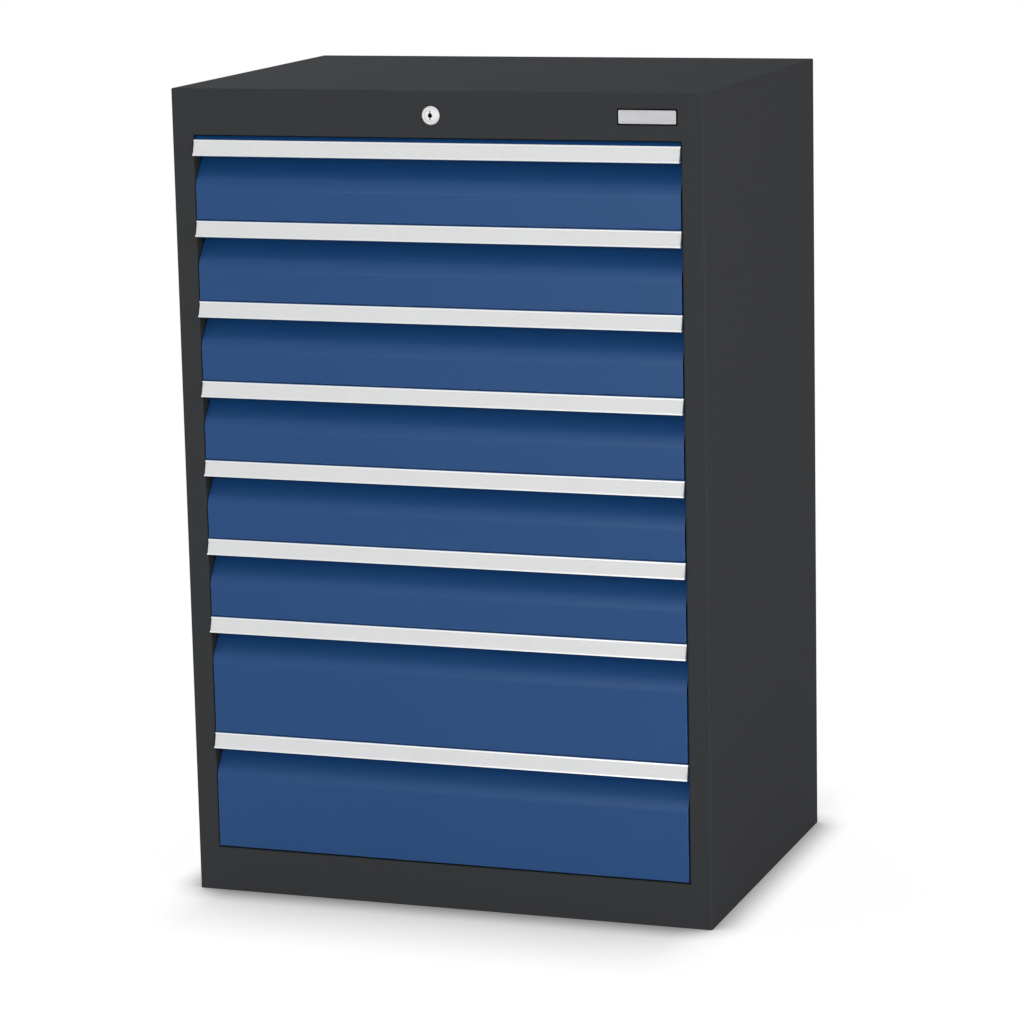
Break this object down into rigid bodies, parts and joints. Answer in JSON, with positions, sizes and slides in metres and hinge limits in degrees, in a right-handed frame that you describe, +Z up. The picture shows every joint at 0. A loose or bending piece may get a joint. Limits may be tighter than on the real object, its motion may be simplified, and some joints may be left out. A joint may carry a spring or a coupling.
{
  "type": "drawer cabinet",
  "caption": "Steel drawer cabinet with full-extension drawers of two heights, slanted label handles across the fronts and one central lock.",
  "frame": {"origin": "on the floor, under the middle of the whole outline", "axes": "+Z up, front with the handles towards -Y, +X to the right of someone facing the front"},
  "size_m": [0.68, 0.5044, 1.019],
  "materials": {
    "case_paint": "satin powder coat",
    "front_paint": "satin powder coat",
    "tray_paint": "satin powder coat",
    "handle_aluminium": "anodised",
    "label_strip": "fine grain",
    "zinc_steel": "zinc plated",
    "lock_chrome": "polished",
    "nameplate_metal": "satin"
  },
  "bodies": {
    "case": {"back_panel": "case_paint", "base_panel": "case_paint", "case_runners_left": "zinc_steel", "case_runners_right": "zinc_steel", "front_bottom_rail": "case_paint", "front_top_rail": "case_paint", "left_side_panel": "case_paint", "lock_bar_guides": "zinc_steel", "lock_housing": "lock_chrome", "lock_nut": "zinc_steel", "lock_slide_guides": "zinc_steel", "nameplate": "nameplate_metal", "right_side_panel": "case_paint", "runner_posts": "zinc_steel", "top_panel": "case_paint"},
    "drawer_1": {"drawer_1_tray": "tray_paint", "drawer_1_front": "front_paint", "drawer_1_handle": "handle_aluminium", "drawer_1_label": "label_strip"},
    "middle_runners_1": {"drawer_1_middle_runners": "zinc_steel"},
    "drawer_2": {"drawer_2_tray": "tray_paint", "drawer_2_front": "front_paint", "drawer_2_handle": "handle_aluminium", "drawer_2_label": "label_strip"},
    "middle_runners_2": {"drawer_2_middle_runners": "zinc_steel"},
    "drawer_3": {"drawer_3_tray": "tray_paint", "drawer_3_front": "front_paint", "drawer_3_handle": "handle_aluminium", "drawer_3_label": "label_strip"},
    "middle_runners_3": {"drawer_3_middle_runners": "zinc_steel"},
    "drawer_4": {"drawer_4_tray": "tray_paint", "drawer_4_front": "front_paint", "drawer_4_handle": "handle_aluminium", "drawer_4_label": "label_strip"},
    "middle_runners_4": {"drawer_4_middle_runners": "zinc_steel"},
    "drawer_5": {"drawer_5_tray": "tray_paint", "drawer_5_front": "front_paint", "drawer_5_handle": "handle_aluminium", "drawer_5_label": "label_strip"},
    "middle_runners_5": {"drawer_5_middle_runners": "zinc_steel"},
    "drawer_6": {"drawer_6_tray": "tray_paint", "drawer_6_front": "front_paint", "drawer_6_handle": "handle_aluminium", "drawer_6_label": "label_strip"},
    "middle_runners_6": {"drawer_6_middle_runners": "zinc_steel"},
    "drawer_7": {"drawer_7_tray": "tray_paint", "drawer_7_front": "front_paint", "drawer_7_handle": "handle_aluminium", "drawer_7_label": "label_strip"},
    "middle_runners_7": {"drawer_7_middle_runners": "zinc_steel"},
    "drawer_8": {"drawer_8_tray": "tray_paint", "drawer_8_front": "front_paint", "drawer_8_handle": "handle_aluminium", "drawer_8_label": "label_strip"},
    "middle_runners_8": {"drawer_8_middle_runners": "zinc_steel"},
    "lock_plug_and_cam": {"lock_plug": "lock_chrome", "lock_cam": "zinc_steel", "lock_cam_screw": "zinc_steel"},
    "slide_bar": {"lock_slide": "zinc_steel"},
    "upright_bar": {"lock_bar": "zinc_steel"}
  },
  "joints": [
    {"name": "drawer_1_slide", "type": "slide", "parent": "case", "child": "drawer_1", "axis": [0, -1, 0], "range_m": [0, 0.4]},
    {"name": "middle_runners_1_slide", "type": "slide", "parent": "case", "child": "middle_runners_1", "axis": [0, -1, 0], "range_m": [0, 0.2]},
    {"name": "drawer_2_slide", "type": "slide", "parent": "case", "child": "drawer_2", "axis": [0, -1, 0], "range_m": [0, 0.4]},
    {"name": "middle_runners_2_slide", "type": "slide", "parent": "case", "child": "middle_runners_2", "axis": [0, -1, 0], "range_m": [0, 0.2]},
    {"name": "drawer_3_slide", "type": "slide", "parent": "case", "child": "drawer_3", "axis": [0, -1, 0], "range_m": [0, 0.4]},
    {"name": "middle_runners_3_slide", "type": "slide", "parent": "case", "child": "middle_runners_3", "axis": [0, -1, 0], "range_m": [0, 0.2]},
    {"name": "drawer_4_slide", "type": "slide", "parent": "case", "child": "drawer_4", "axis": [0, -1, 0], "range_m": [0, 0.4]},
    {"name": "middle_runners_4_slide", "type": "slide", "parent": "case", "child": "middle_runners_4", "axis": [0, -1, 0], "range_m": [0, 0.2]},
    {"name": "drawer_5_slide", "type": "slide", "parent": "case", "child": "drawer_5", "axis": [0, -1, 0], "range_m": [0, 0.4]},
    {"name": "middle_runners_5_slide", "type": "slide", "parent": "case", "child": "middle_runners_5", "axis": [0, -1, 0], "range_m": [0, 0.2]},
    {"name": "drawer_6_slide", "type": "slide", "parent": "case", "child": "drawer_6", "axis": [0, -1, 0], "range_m": [0, 0.4]},
    {"name": "middle_runners_6_slide", "type": "slide", "parent": "case", "child": "middle_runners_6", "axis": [0, -1, 0], "range_m": [0, 0.2]},
    {"name": "drawer_7_slide", "type": "slide", "parent": "case", "child": "drawer_7", "axis": [0, -1, 0], "range_m": [0, 0.4]},
    {"name": "middle_runners_7_slide", "type": "slide", "parent": "case", "child": "middle_runners_7", "axis": [0, -1, 0], "range_m": [0, 0.2]},
    {"name": "drawer_8_slide", "type": "slide", "parent": "case", "child": "drawer_8", "axis": [0, -1, 0], "range_m": [0, 0.4]},
    {"name": "middle_runners_8_slide", "type": "slide", "parent": "case", "child": "middle_runners_8", "axis": [0, -1, 0], "range_m": [0, 0.2]},
    {"name": "lock_turn", "type": "hinge", "parent": "case", "child": "lock_plug_and_cam", "pos_m": [0, -0.24775, 0.9895], "axis": [0, -1, 0], "range_deg": [0, 90]},
    {"name": "slide_bar_travel", "type": "slide", "parent": "case", "child": "slide_bar", "axis": [1, 0, 0], "range_m": [0, 0.01202]},
    {"name": "upright_bar_lift", "type": "slide", "parent": "case", "child": "upright_bar", "axis": [0, 0, 1], "range_m": [0, 0.01202]}
  ],
  "couplings": [
    {"joint": "middle_runners_1_slide", "follows": "drawer_1_slide", "ratio": 0.5},
    {"joint": "middle_runners_2_slide", "follows": "drawer_2_slide", "ratio": 0.5},
    {"joint": "middle_runners_3_slide", "follows": "drawer_3_slide", "ratio": 0.5},
    {"joint": "middle_runners_4_slide", "follows": "drawer_4_slide", "ratio": 0.5},
    {"joint": "middle_runners_5_slide", "follows": "drawer_5_slide", "ratio": 0.5},
    {"joint": "middle_runners_6_slide", "follows": "drawer_6_slide", "ratio": 0.5},
    {"joint": "middle_runners_7_slide", "follows": "drawer_7_slide", "ratio": 0.5},
    {"joint": "middle_runners_8_slide", "follows": "drawer_8_slide", "ratio": 0.5},
    {"joint": "slide_bar_travel", "follows": "upright_bar_lift", "ratio": 1},
    {"joint": "lock_turn", "follows": "upright_bar_lift", "rad_per_m": 130.67}
  ]
}
